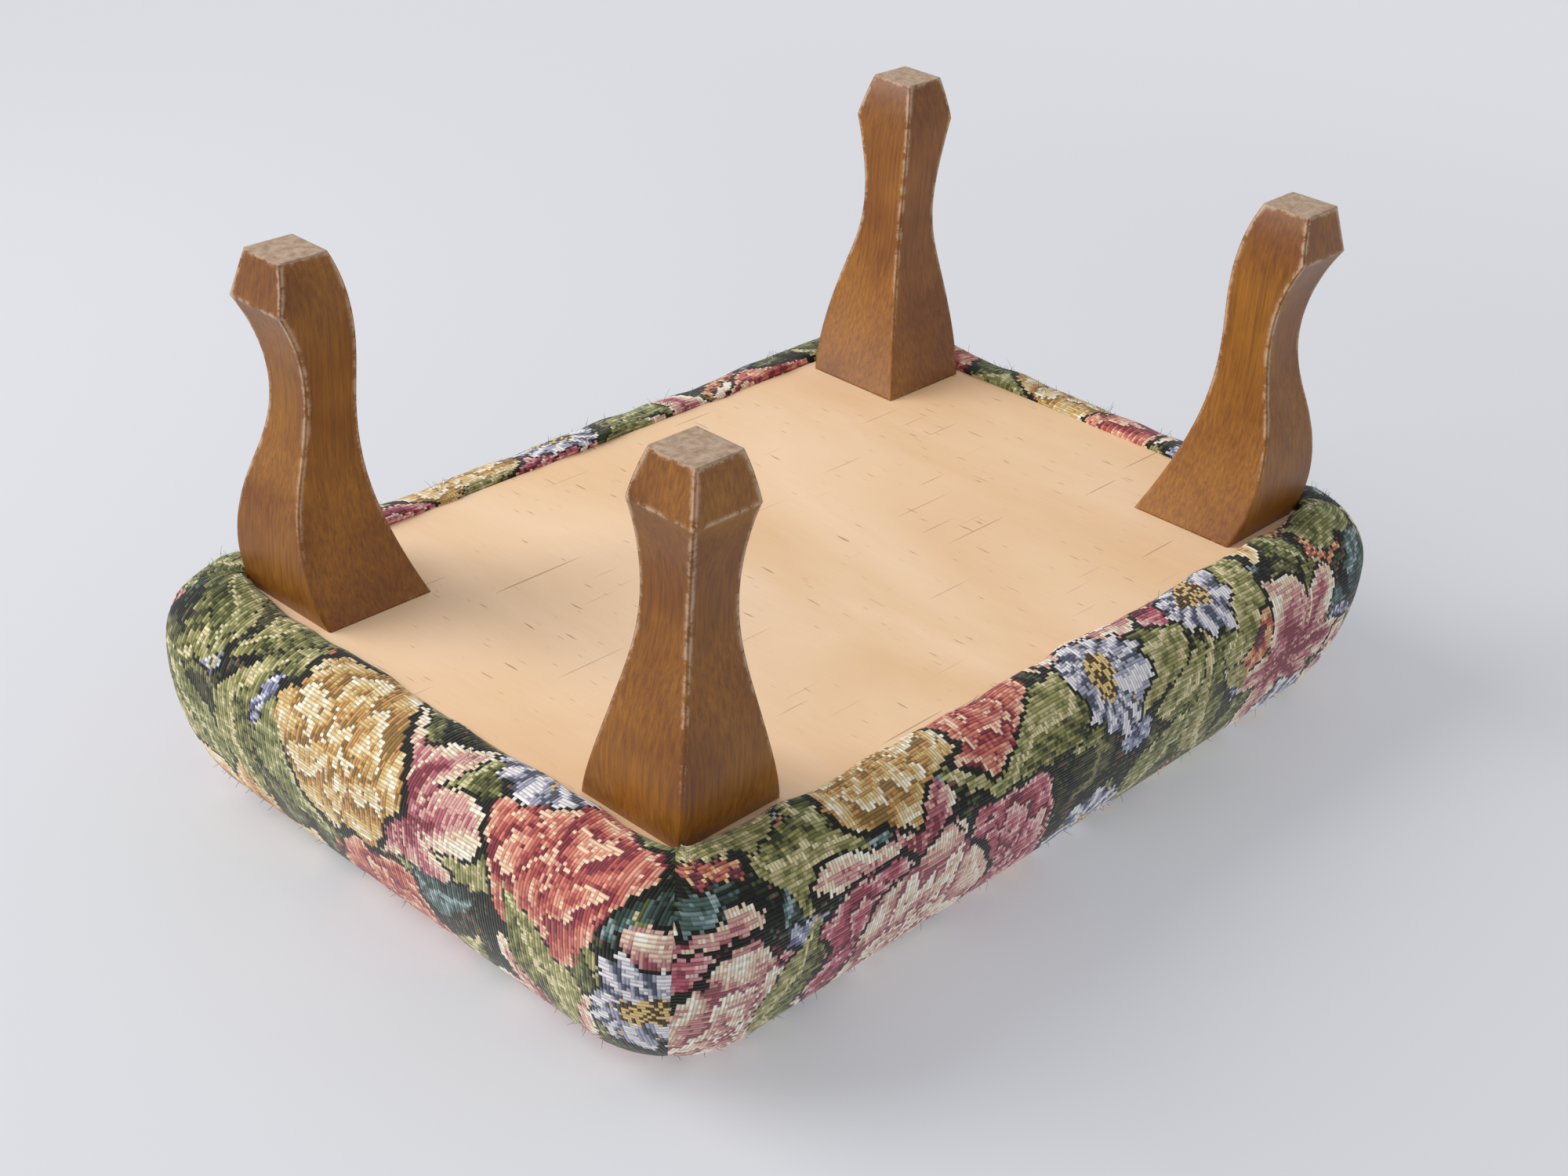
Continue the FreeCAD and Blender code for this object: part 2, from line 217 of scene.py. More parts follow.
# %% Bare plywood
def bare_plywood():
    material, tree = new_material("Plywood, bare sanded face")
    place = add(tree, "TexCoord").outputs["Object"]
    fibre, veneer = peeled_veneer(tree, place)
    # A few long hairlines from handling cross the grain.
    scratch_place = add(tree, "Mapping", {"Vector": place, "Rotation": (0, 0, 0.5),
                                          "Scale": (14, 800, 500)})
    scratches = add(tree, "TexNoise", {"Vector": scratch_place, "Scale": 1.0, "Detail": 0.0})
    in_scratch = add(tree, "MapRange", {"Value": scratches, "From Min": 0.80, "From Max": 0.825,
                                        "To Min": 0.0, "To Max": 0.6})
    scratched = add(tree, "Mix", {"Factor": in_scratch, "A": veneer, "B": colour("#94604A")},
                    data_type="RGBA")
    roughness = add(tree, "MapRange", {"Value": fibre, "To Min": 0.55, "To Max": 0.7})
    bump = add(tree, "Bump", {"Strength": 0.1, "Distance": 0.2 * MM, "Height": fibre})
    shader = add(tree, "BsdfPrincipled", {"Base Color": scratched, "Roughness": roughness,
                                          "Normal": bump})
    add(tree, "OutputMaterial", {"Surface": shader})
    return material


dress(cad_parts["base_panel"], bare_plywood())
print("panel finished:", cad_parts["base_panel"].name)


# %% [markdown]
# The cover is one sheet of tapestry, pulled over the padding, folded into a mitre at each corner
# and tucked in round the panel. It is built as rings of points that run round the stool. The
# first rings lie in the recess beside the panel, the next roll over the lip, and the rest go
# round the side and over the top. Each face also gets the place that it has on the flat sheet,
# in millimetres, so that the woven pattern follows the cloth and breaks at the mitres.

# %% Shape of the padded seat
half_length = (pad_high.x - pad_low.x) / 2
half_width = (pad_high.y - pad_low.y) / 2
lip_z = pad_low.z
top_z = pad_high.z
panel_z = panel_low.z
LIP_RISE, LIP_TUCK = 23 * MM, 25 * MM
SHOULDER_RISE, SHOULDER_TUCK = 58 * MM, 25 * MM
CROWN_TUCK = 126 * MM
widest_z = lip_z + LIP_RISE
corner_radius = 40 * MM
LIP_EASING, CROWN_EASING = 1.2, 0.25    # how fast the plan corner tightens as the side tucks in
RECESS_GAP = 0.4 * MM                   # between the panel's edge and the cloth
RECESS_HEIGHTS = (6.5 * MM, 3 * MM, 0.8 * MM)
RECESS_RADIUS = 3 * MM


def ring_profile():
    """Rings from the recess to the crown: height, insets along x and y, corner radius."""
    rings = []
    recess = (half_length - panel_high.x - RECESS_GAP, half_width - panel_high.y - RECESS_GAP)
    for above_panel in RECESS_HEIGHTS:
        rings.append((panel_z + above_panel, *recess, RECESS_RADIUS))
    for degrees in (15, 30, 45, 60, 75):
        angle = math.radians(degrees)
        z = lip_z + (panel_z - lip_z) * (1 - math.sin(angle))
        insets = [LIP_TUCK + (side - LIP_TUCK) * math.cos(angle) for side in recess]
        rings.append((z, *insets, RECESS_RADIUS + 7 * MM * math.sin(angle)))
    for degrees in range(90, 0, -6):
        angle = math.radians(degrees)
        inset = LIP_TUCK * (1 - math.cos(angle))
        rings.append((widest_z - LIP_RISE * math.sin(angle), inset, inset,
                      corner_radius - LIP_EASING * inset))
    for degrees in range(0, 74, 4):
        angle = math.radians(degrees)
        inset = SHOULDER_TUCK * (1 - math.cos(angle))
        rings.append((widest_z + SHOULDER_RISE * math.sin(angle), inset, inset,
                      corner_radius - CROWN_EASING * inset))
    return rings


side_rings = ring_profile()
print("side rings", len(side_rings))


# %% Points round one ring
# Each side is worked out as the front side and then turned: x and y of its two directions.
SIDE_TURNS = ((1, 0, 0, -1), (0, 1, 1, 0), (-1, 0, 0, 1), (0, -1, -1, 0))


def ring_stations():
    """Stations round the stool: which side, share along it, and how far round the corner."""
    stations = []
    per_long, per_short, per_corner = 120, 76, 16
    for side, count in ((0, per_long), (1, per_short), (2, per_long), (3, per_short)):
        for i in range(per_corner, 0, -1):
            stations.append((side, -1.0, -i / per_corner))
        for i in range(count + 1):
            stations.append((side, -1.0 + 2.0 * i / count, 0.0))
        for i in range(1, per_corner):
            stations.append((side, 1.0, i / per_corner))
    return stations


def ring_point(side, share, turn, inset_x, inset_y, radius):
    """A point of a ring, its outward direction, and its place along the side."""
    hx, hy = half_length - inset_x, half_width - inset_y
    reach, out = (hx, hy) if side % 2 == 0 else (hy, hx)
    straight = reach - radius
    angle = turn * math.pi / 4
    along = share * straight + (radius * math.sin(angle) if turn else 0.0)
    across = out - radius + radius * math.cos(angle)
    local_out = (math.sin(angle), math.cos(angle))
    place = share * straight + radius * angle
    turns = SIDE_TURNS[side]
    x = along * turns[0] + across * turns[2]
    y = along * turns[1] + across * turns[3]
    nx = local_out[0] * turns[0] + local_out[1] * turns[2]
    ny = local_out[0] * turns[1] + local_out[1] * turns[3]
    return x, y, nx, ny, place


stations = ring_stations()
print("stations", len(stations))


# %% [markdown]
# Hand upholstery is never even. The lip wanders, the padding swells a little between staples,
# and the corners stand proud, because four layers of cloth are folded there. Sums of slow waves
# give these without any chance in them.

# %% Unevenness and corner folds
def drift(distance, seed, length):
    """A slow wave along the side, about -1 to 1."""
    total = 0.0
    for k, weight in ((1.0, 0.5), (2.3, 0.3), (4.1, 0.2)):
        total += weight * math.sin(2 * math.pi * k * distance / length + seed * 2.4 + k * seed)
    return total


def shaped(side, share, turn, ring, z, inset_x, inset_y, radius):
    x, y, nx, ny, place = ring_point(side, share, turn, inset_x, inset_y, radius)
    corner = abs(turn)
    near_corner = max(0.0, 1 - (1 - abs(share)) * 3.2) if not turn else 1.0
    if ring < len(RECESS_HEIGHTS):
        return x, y, z, place
    height = (z - lip_z) / (top_z - lip_z)
    lip_part = max(0.0, 1 - height / 0.35)
    side_part = math.exp(-((height - 0.42) / 0.3) ** 2)
    swell = 0.9 * MM * (0.6 + drift(place, side + 1.0, 0.17)) * side_part
    crest = 2.0 * MM * drift(place, side + 5.0, 0.13) * lip_part
    wander = 1.6 * MM * (drift(place, side + 9.0, 0.09) - 0.4) * max(0.0, 1 - height / 0.2)
    rise = 4.2 * MM * lip_part * near_corner ** 2
    crease = 0.0
    if corner > 0.0:
        from_mitre = (1 - corner) * radius * math.pi / 4
        crease = 1.7 * MM * math.exp(-(from_mitre / (1.6 * MM)) ** 2) * min(1.0, 1.4 - height)
        if side % 2 == 1:
            crease *= 0.35
    out = swell + wander - crease
    return x + nx * out, y + ny * out, z - rise + crest * 0.6, place


# %% The cover's points
CROWN_RINGS = 40


def cover_points():
    """Points ring by ring, and the place on the flat sheet of each one below the crown."""
    points, flat_places = [], []
    run = 0.0
    last = side_rings[0]
    for ring, profile in enumerate(side_rings):
        run += math.hypot(profile[0] - last[0], profile[1] - last[1])
        last = profile
        for side, share, turn in stations:
            x, y, height, place = shaped(side, share, turn, ring, *profile)
            points.append((x, y, height))
            flat_places.append((place, run))
    edge_z, edge_inset = side_rings[-1][:2]
    edge = points[-len(stations):]
    for ring in range(1, CROWN_RINGS):
        shrink = 1 - ring / CROWN_RINGS
        for edge_x, edge_y, _ in edge:
            x, y = edge_x * shrink, edge_y * shrink
            tuck = min(half_length - abs(x), half_width - abs(y)) - edge_inset
            share = max(0.0, min(1.0, tuck / (CROWN_TUCK - edge_inset)))
            points.append((x, y, edge_z + (top_z - edge_z) * math.sin(share * math.pi / 2)))
    points.append((0.0, 0.0, top_z))
    return points, flat_places


# %% The cover's faces
def cover_faces(point_count):
    """Faces between the rings and round the middle point, with the ring and station of each."""
    count = len(stations)
    rows = len(side_rings) + CROWN_RINGS - 1
    faces, origins = [], []
    for row in range(rows):
        for i in range(count):
            a, b = row * count + i, row * count + (i + 1) % count
            inner = (b + count, a + count) if row < rows - 1 else (point_count - 1,)
            faces.append((a, b, *inner))
            origins.append((row, i))
    return faces, origins


# %% Places on the flat sheet
def flat_corner(vertex, row, side, points, flat_places):
    """Where a face's corner lies on the flat sheet. The crown is cut straight from above."""
    if row >= len(side_rings) - 1:
        return points[vertex][:2]
    ring, index = divmod(vertex, len(stations))
    place, run = flat_places[vertex]
    if stations[index][0] != side:
        # The mitre belongs to both sides, at the far end of this one.
        place = ring_point(side, 1.0, 1.0, *side_rings[ring][1:])[4]
    out_reach = (half_width if side % 2 == 0 else half_length) - side_rings[-1][1]
    across = out_reach + (flat_places[-1][1] - run)
    turns = SIDE_TURNS[side]
    return place * turns[0] + across * turns[2], place * turns[1] + across * turns[3]


# %% Build the cover's mesh
def build_cover():
    points, flat_places = cover_points()
    faces, origins = cover_faces(len(points))
    mesh = bpy.data.meshes.new("tapestry_cover")
    mesh.from_pydata(points, [], faces)
    mesh.update()
    cloth = mesh.attributes.new("cloth_mm", "FLOAT_VECTOR", "CORNER")
    values = np.zeros((len(mesh.loops), 3), dtype=np.float32)
    for polygon, (row, i) in zip(mesh.polygons, origins):
        for loop in polygon.loop_indices:
            vertex = mesh.loops[loop].vertex_index
            x, y = flat_corner(vertex, row, stations[i][0], points, flat_places)
            values[loop] = (x * 1000, y * 1000, 0.0)
    cloth.data.foreach_set("vector", values.ravel())
    for polygon in mesh.polygons:
        polygon.use_smooth = True
    cover = bpy.data.objects.new("tapestry_cover", mesh)
    bpy.context.scene.collection.objects.link(cover)
    return cover


cover = build_cover()
print("cover faces", len(cover.data.polygons))
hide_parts("seat_cover")
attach(cover, "root")


# %% [markdown]
# The cloth is a jacquard tapestry: blooms and leaves in about a dozen yarn colours, crowded
# together over a black ground. On a loom a picture is made of thread crossings, so every outline
# runs in small steps. The graph first snaps the cloth to a grid of crossings and shifts each
# thread a little, and then draws the flowers on the snapped cloth, so all edges come out woven.
# The true threads are about 1 mm apart. Here they are drawn 1.4 mm apart, so that they show.

# %% Grid of threads
THREAD_MM = 1.4


def thread_grid(tree):
    """Where each point lies in the weave, and the place to look up in the design."""
    cloth = add(tree, "Attribute", attribute_name="cloth_mm").outputs["Vector"]
    threads = add(tree, "VectorMath", {0: cloth, "Scale": 1 / THREAD_MM}, operation="SCALE")
    crossing = add(tree, "VectorMath", {0: threads}, operation="FLOOR")
    inside = add(tree, "VectorMath", {0: threads}, operation="FRACTION")
    count = add(tree, "SeparateXYZ", {0: crossing})
    chance = add(tree, "TexWhiteNoise", {"Vector": crossing}, noise_dimensions="2D")
    row_chance = add(tree, "TexWhiteNoise", {"W": count.outputs["Y"]}, noise_dimensions="1D")
    column_chance = add(tree, "TexWhiteNoise", {"W": count.outputs["X"]}, noise_dimensions="1D")
    shift = add(tree, "CombineXYZ",
                {"X": row_chance.outputs["Value"], "Y": column_chance.outputs["Value"]})
    uneven = add(tree, "VectorMath", {0: shift, "Scale": 1.3}, operation="SCALE")
    moved = add(tree, "VectorMath", {0: crossing, 1: uneven}, operation="ADD")
    stepped = add(tree, "VectorMath", {0: moved, "Scale": THREAD_MM}, operation="SCALE")
    # Broad bends keep the flowers from looking drawn with a compass.
    bends = add(tree, "TexNoise", {"Vector": stepped, "Scale": 0.028, "Detail": 1.5},
                noise_dimensions="2D")
    centred = add(tree, "VectorMath", {0: bends.outputs["Color"], 1: (0.5, 0.5, 0.5)},
                  operation="SUBTRACT")
    bent = add(tree, "VectorMath", {0: centred, "Scale": 26.0}, operation="SCALE")
    design = add(tree, "VectorMath", {0: stepped, 1: bent}, operation="ADD")
    # Neighbouring threads change colour at slightly different places, which gives hatched shading.
    parity = add(tree, "Math", {0: count.outputs["Y"], 1: 2.0}, operation="FLOORED_MODULO")
    grain = add(tree, "Math", {0: chance.outputs["Value"], 1: 0.12, 2: -0.12},
                operation="MULTIPLY_ADD")
    hatch = add(tree, "Math", {0: parity, 1: 0.12, 2: grain}, operation="MULTIPLY_ADD")
    return {"design": design, "inside": inside, "count": count, "chance": chance, "hatch": hatch}


# %% [markdown]
# Flowers of one kind are strewn by a cell texture. Each cell gives a centre and three chances:
# the turn of the flower, whether it is there at all, and which of two yarn sets it is woven in.

# %% Strewn flowers
def strewn(tree, grid, cell, seed, spread):
    """The place within the nearest flower, turned its own way, and its chances."""
    offset = (seed * 137.3, seed * 71.9, 0)
    place = add(tree, "VectorMath", {0: grid["design"], 1: offset}, operation="ADD")
    cells = add(tree, "TexVoronoi", {"Vector": place, "Scale": 1 / cell, "Randomness": spread},
                voronoi_dimensions="2D")
    local = add(tree, "VectorMath", {0: place, 1: cells.outputs["Position"]}, operation="SUBTRACT")
    chance = add(tree, "SeparateColor", {0: cells.outputs["Color"]})
    turn = add(tree, "Math", {0: chance.outputs[0], 1: 2 * math.pi}, operation="MULTIPLY")
    turned = add(tree, "VectorRotate", {"Vector": local, "Angle": turn}, rotation_type="Z_AXIS")
    return turned, chance


def laid_over(tree, below, share, edge, chance, kept, tone, yarns):
    """Lay a flower over what is below it, with a dark thread or two of shadow at its edge."""
    there = add(tree, "Math", {0: chance.outputs[1], 1: kept}, operation="LESS_THAN")
    shadow_edge = add(tree, "Math", {0: edge, 1: 1.06, 2: 0.02}, operation="MULTIPLY_ADD")
    in_shadow = add(tree, "Math", {0: share, 1: shadow_edge}, operation="LESS_THAN")
    shadow = add(tree, "Math", {0: in_shadow, 1: there}, operation="MULTIPLY")
    in_flower = add(tree, "Math", {0: share, 1: edge}, operation="LESS_THAN")
    flower = add(tree, "Math", {0: in_flower, 1: there}, operation="MULTIPLY")
    first, second = (add(tree, "ValToRGB", {0: tone}, ramp=list(zip(stops, codes)))
                     for stops, codes in yarns)
    for ramp in (first, second):
        ramp.color_ramp.interpolation = "CONSTANT"
    pick = add(tree, "Math", {0: chance.outputs[2], 1: 0.5}, operation="GREATER_THAN")
    yarn = add(tree, "Mix", {"Factor": pick, "A": first, "B": second}, data_type="RGBA")
    darkened = add(tree, "Mix", {"Factor": shadow, "A": below, "B": colour("#1B1C14")},
                   data_type="RGBA")
    return add(tree, "Mix", {"Factor": flower, "A": darkened, "B": yarn}, data_type="RGBA")


def petal_wave(tree, place, petals, size):
    """Distance from a flower's middle, turns counted in petals, and a streak along each petal."""
    share = add(tree, "VectorMath", {0: place}, operation="LENGTH").outputs["Value"]
    share = add(tree, "Math", {0: share, 1: size}, operation="DIVIDE")
    parts = add(tree, "SeparateXYZ", {0: place})
    angle = add(tree, "Math", {0: parts.outputs["Y"], 1: parts.outputs["X"]}, operation="ARCTAN2")
    turns = add(tree, "Math", {0: angle, 1: petals / (2 * math.pi)}, operation="MULTIPLY")
    around = add(tree, "CombineXYZ", {"X": turns, "Y": share})
    streaks = add(tree, "TexNoise", {"Vector": around, "Scale": 3.6, "Detail": 1.0},
                  noise_dimensions="2D")
    streak = add(tree, "Math", {0: streaks.outputs[0], 1: 0.5}, operation="SUBTRACT")
    return share, turns, streak


# %% [markdown]
# A rose is rings of scalloped petals. Along each petal the yarn goes from dark at its base to
# pale at its rim, and the next ring starts dark again, half a petal round.

# %% Roses
def roses(tree, grid, below, cell, seed, size, petals, rings, kept, yarns):
    place, chance = strewn(tree, grid, cell, seed, 0.5)
    share, turns, streak = petal_wave(tree, place, petals, size)
    scallop = add(tree, "Math", {0: turns, 1: 0.5}, operation="PINGPONG")
    edge = add(tree, "Math", {0: scallop, 1: 0.34, 2: 0.80}, operation="MULTIPLY_ADD")
    inward = add(tree, "Math", {0: share, 1: rings}, operation="MULTIPLY")
    ring = add(tree, "Math", {0: inward}, operation="FLOOR")
    staggered = add(tree, "Math", {0: ring, 1: 0.5, 2: turns}, operation="MULTIPLY_ADD")
    bulge = add(tree, "Math", {0: staggered, 1: 0.5}, operation="PINGPONG")
    rise = add(tree, "Math", {0: bulge, 1: -1.3, 2: inward}, operation="MULTIPLY_ADD")
    streaky = add(tree, "Math", {0: streak, 1: 1.1, 2: rise}, operation="MULTIPLY_ADD")
    along = add(tree, "Math", {0: streaky}, operation="FRACT")
    tone = add(tree, "Math", {0: along, 1: grid["hatch"]}, operation="ADD", use_clamp=True)
    return laid_over(tree, below, share, edge, chance, kept, tone, yarns)


# %% [markdown]
# A lily opens in long pointed petals, pale at their sides with a rose flush down the middle.
# A daisy is a small wheel of blue and white petals round a speckled ochre eye.

# %% Lilies and daisies
def lilies(tree, grid, below, cell, seed, size, petals, kept, yarns):
    place, chance = strewn(tree, grid, cell, seed, 0.5)
    share, turns, streak = petal_wave(tree, place, petals, size)
    middle = add(tree, "Math", {0: turns, 1: 0.5}, operation="PINGPONG")
    edge = add(tree, "Math", {0: middle, 1: 1.1, 2: 0.46}, operation="MULTIPLY_ADD")
    flush = add(tree, "Math", {0: 1.15, 1: share}, operation="SUBTRACT")
    flushed = add(tree, "Math", {0: middle, 1: flush}, operation="MULTIPLY")
    rim = add(tree, "Math", {0: edge, 1: share}, operation="SUBTRACT")
    rimmed = add(tree, "Math", {0: rim, 1: 0.9}, operation="MULTIPLY")
    low = add(tree, "Math", {0: middle, 1: 0.11}, operation="LESS_THAN")
    base = add(tree, "Math", {0: 0.98, 1: flushed}, operation="SUBTRACT")
    cooled = add(tree, "Math", {0: base, 1: rimmed}, operation="SUBTRACT")
    folded = add(tree, "Math", {0: low, 1: -0.5, 2: cooled}, operation="MULTIPLY_ADD")
    streaky = add(tree, "Math", {0: streak, 1: 0.9, 2: folded}, operation="MULTIPLY_ADD")
    tone = add(tree, "Math", {0: streaky, 1: grid["hatch"]}, operation="ADD", use_clamp=True)
    return laid_over(tree, below, share, edge, chance, kept, tone, yarns)


def daisies(tree, grid, below, cell, seed, size, petals, kept, yarns):
    place, chance = strewn(tree, grid, cell, seed, 0.7)
    share, turns, streak = petal_wave(tree, place, petals, size)
    middle = add(tree, "Math", {0: turns, 1: 0.5}, operation="PINGPONG")
    edge = add(tree, "Math", {0: middle, 1: 0.36, 2: 0.82}, operation="MULTIPLY_ADD")
    petal = add(tree, "Math", {0: middle, 1: 1.1, 2: 0.36}, operation="MULTIPLY_ADD")
    streaky = add(tree, "Math", {0: streak, 1: 0.7, 2: petal}, operation="MULTIPLY_ADD")
    eye = add(tree, "Math", {0: share, 1: 0.36}, operation="LESS_THAN")
    speckle = add(tree, "Math", {0: grid["chance"].outputs["Value"], 1: 0.3}, operation="MULTIPLY")
    tone = add(tree, "Mix", {"Factor": eye, "A": streaky, "B": speckle}, data_type="FLOAT")
    return laid_over(tree, below, share, edge, chance, kept, tone, yarns)


# %% [markdown]
# A leaf is a bent, pointed oval. A pale rib runs down it, veins slant away from the rib, and
# one half is woven darker than the other.

# %% Leaves
def leaves(tree, grid, below, cell, seed, length, width, kept, yarns):
    place, chance = strewn(tree, grid, cell, seed, 0.6)
    parts = add(tree, "SeparateXYZ", {0: place})
    along = add(tree, "Math", {0: parts.outputs["X"], 1: length}, operation="DIVIDE")
    squared = add(tree, "Math", {0: along, 1: along}, operation="MULTIPLY")
    bent = add(tree, "Math", {0: squared, 1: width * 0.9, 2: parts.outputs["Y"]},
               operation="MULTIPLY_ADD")
    across = add(tree, "Math", {0: bent}, operation="ABSOLUTE")
    # The widest place lies a third of the way up, and veins notch the edge.
    slant = add(tree, "Math", {0: across, 1: -0.8, 2: parts.outputs["X"]}, operation="MULTIPLY_ADD")
    vein = add(tree, "Math", {0: slant, 1: 4.2}, operation="PINGPONG")
    round_end = add(tree, "Math", {0: 1.0, 1: squared}, operation="SUBTRACT")
    taper = add(tree, "Math", {0: along, 1: -0.35, 2: 1.0}, operation="MULTIPLY_ADD")
    outline = add(tree, "Math", {0: round_end, 1: taper}, operation="MULTIPLY")
    edge_mm = add(tree, "Math", {0: outline, 1: width}, operation="MULTIPLY")
    edge = add(tree, "Math", {0: vein, 1: 0.3, 2: edge_mm}, operation="MULTIPLY_ADD")
    side = add(tree, "Math", {0: bent, 1: 0.0}, operation="GREATER_THAN")
    half_tone = add(tree, "Math", {0: side, 1: 0.26, 2: 0.18}, operation="MULTIPLY_ADD")
    veined = add(tree, "Math", {0: vein, 1: 0.085, 2: half_tone}, operation="MULTIPLY_ADD")
    rib = add(tree, "Math", {0: across, 1: 1.1}, operation="LESS_THAN")
    ribbed = add(tree, "Math", {0: rib, 1: 0.5, 2: veined}, operation="MULTIPLY_ADD")
    strands = add(tree, "TexNoise", {"Vector": place, "Scale": 0.16, "Detail": 1.0},
                  noise_dimensions="2D")
    patchy = add(tree, "Math", {0: strands.outputs[0], 1: 0.9, 2: ribbed}, operation="MULTIPLY_ADD")
    lowered = add(tree, "Math", {0: patchy, 1: 0.45}, operation="SUBTRACT")
    tone = add(tree, "Math", {0: lowered, 1: grid["hatch"]}, operation="ADD", use_clamp=True)
    return laid_over(tree, below, across, edge, chance, kept, tone, yarns)


# %% [markdown]
# Each kind of flower is woven from one of two sets of five yarns, from its darkest to its
# palest. The numbers say from which tone on each yarn is used.

# %% Yarns
FIVE = (0.0, 0.2, 0.42, 0.64, 0.84)
ROSE_YARNS = ((FIVE, ("#7A3139", "#A34F4A", "#C0705F", "#D6957F", "#E6C4A4")),
              (FIVE, ("#5F2730", "#92434E", "#B4606A", "#CD8A8C", "#E2BFB4")))
CREAM_YARNS = ((FIVE, ("#8A6A3A", "#B78A52", "#CFAE72", "#DDC79A", "#EDE4CC")),
               (FIVE, ("#94545A", "#C08A84", "#DCB9A4", "#E8D8BF", "#F1EBDA")))
LILY_YARNS = ((FIVE, ("#7E3B42", "#A9626A", "#CF9D93", "#E4CDB0", "#EFE7D3")),
              (FIVE, ("#93603C", "#BC8152", "#D5AC74", "#E2C99A", "#EFE3C4")))
EYE_AND_PETAL = (0.0, 0.15, 0.3, 0.5, 0.7)
DAISY_YARNS = ((EYE_AND_PETAL, ("#4A3F24", "#C99F58", "#39434F", "#93A5B0", "#DCE3E2")),
               (EYE_AND_PETAL, ("#51402A", "#D8B878", "#525663", "#A09FAE", "#E1DDDD")))
DARK_LEAF_YARNS = ((FIVE, ("#1B1D13", "#33351F", "#4A4A2D", "#646340", "#88845A")),
                   (FIVE, ("#1C2320", "#33413A", "#4D5F58", "#6A7E7C", "#94A3A2")))
LEAF_YARNS = ((FIVE, ("#33371F", "#54572F", "#797A49", "#9B9A69", "#C9C194")),
              (FIVE, ("#3D3F26", "#6A6A3E", "#8F8C57", "#B0A777", "#D6C99B")))
BUD_YARNS = ((FIVE, ("#63303A", "#9A4F4C", "#BF6F57", "#D59A6C", "#E2BE8C")),
             (FIVE, ("#48475A", "#6B6C82", "#8B8EA4", "#AEB0BF", "#D2D1D8")))
